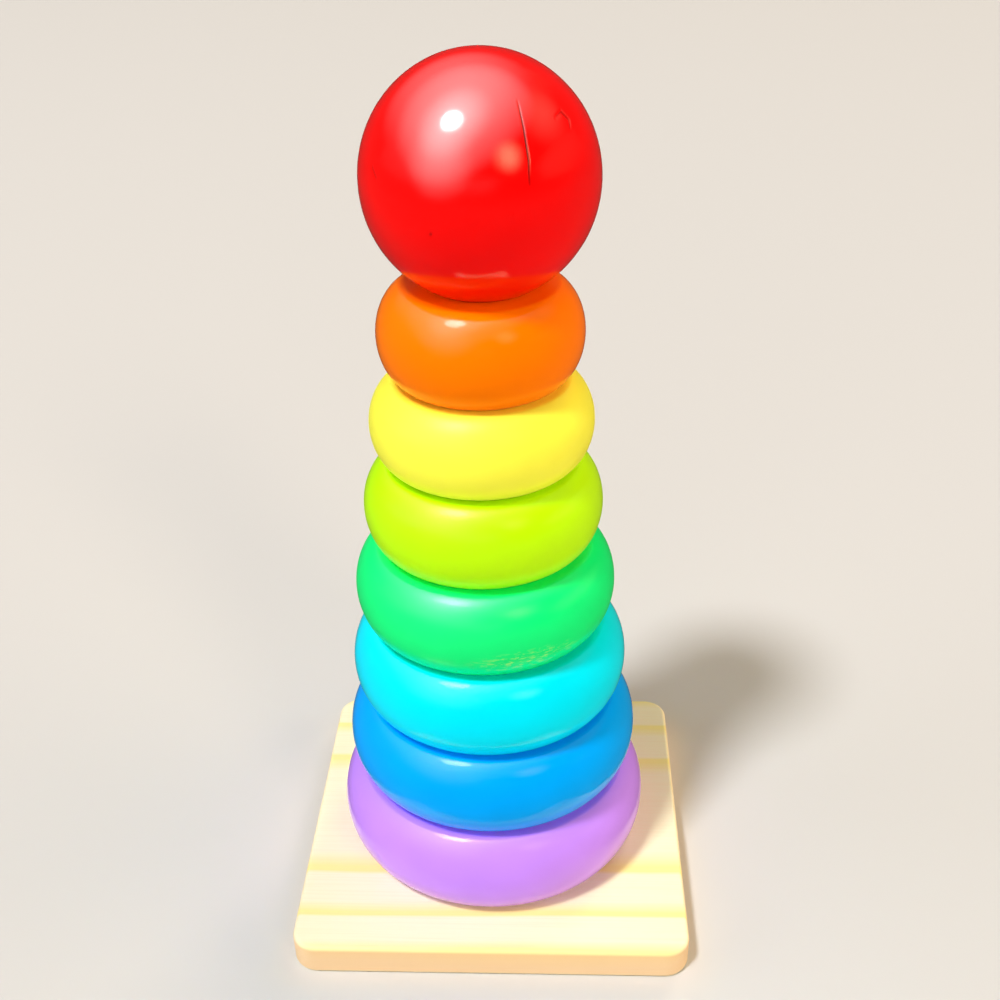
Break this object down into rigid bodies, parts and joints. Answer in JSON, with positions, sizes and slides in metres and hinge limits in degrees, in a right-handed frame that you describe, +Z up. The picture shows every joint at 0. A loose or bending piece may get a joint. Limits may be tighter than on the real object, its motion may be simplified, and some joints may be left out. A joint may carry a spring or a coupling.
{
  "type": "stacking ring tower",
  "caption": "Wooden stacking toy: painted turned rings of growing width and a red ball, threaded loosely on an upright peg that stands in a square pine board.",
  "frame": {"origin": "middle of the board's underside, on the surface that the toy stands on", "axes": "+Z up along the peg, -Y towards the picture's viewer, +X to the right along the board's grain"},
  "size_m": [0.11, 0.11, 0.2304],
  "materials": {
    "pine_board": "clear-lacquered pine, grain along X",
    "peg_wood": "sanded plain dowel",
    "screw_steel": "zinc plated",
    "purple_lacquer": "satin-gloss paint on wood",
    "blue_lacquer": "satin-gloss paint on wood",
    "sky_lacquer": "satin-gloss paint on wood",
    "green_lacquer": "satin-gloss paint on wood",
    "lime_lacquer": "satin-gloss paint on wood",
    "yellow_lacquer": "satin-gloss paint on wood",
    "orange_lacquer": "satin-gloss paint on wood",
    "red_lacquer": "satin-gloss paint on wood"
  },
  "bodies": {
    "base": {"board": "pine_board", "peg": "peg_wood", "peg_screw": "screw_steel"},
    "ring_purple": {"ring_purple": "purple_lacquer"},
    "ring_blue": {"ring_blue": "blue_lacquer"},
    "ring_sky": {"ring_sky": "sky_lacquer"},
    "ring_green": {"ring_green": "green_lacquer"},
    "ring_lime": {"ring_lime": "lime_lacquer"},
    "ring_yellow": {"ring_yellow": "yellow_lacquer"},
    "ring_orange": {"ring_orange": "orange_lacquer"},
    "ball": {"ball": "red_lacquer"}
  },
  "joints": [
    {"name": "purple_lift", "type": "slide", "parent": "base", "child": "ring_purple", "axis": [0, 0, 1], "range_m": [0, 0.192]},
    {"name": "blue_lift", "type": "slide", "parent": "ring_purple", "child": "ring_blue", "axis": [0, 0, 1], "range_m": [0, 0.166]},
    {"name": "sky_lift", "type": "slide", "parent": "ring_blue", "child": "ring_sky", "axis": [0, 0, 1], "range_m": [0, 0.142]},
    {"name": "green_lift", "type": "slide", "parent": "ring_sky", "child": "ring_green", "axis": [0, 0, 1], "range_m": [0, 0.117]},
    {"name": "lime_lift", "type": "slide", "parent": "ring_green", "child": "ring_lime", "axis": [0, 0, 1], "range_m": [0, 0.093]},
    {"name": "yellow_lift", "type": "slide", "parent": "ring_lime", "child": "ring_yellow", "axis": [0, 0, 1], "range_m": [0, 0.069]},
    {"name": "orange_lift", "type": "slide", "parent": "ring_yellow", "child": "ring_orange", "axis": [0, 0, 1], "range_m": [0, 0.047]},
    {"name": "ball_lift", "type": "slide", "parent": "ring_orange", "child": "ball", "axis": [0, 0, 1], "range_m": [0, 0.023]}
  ]
}
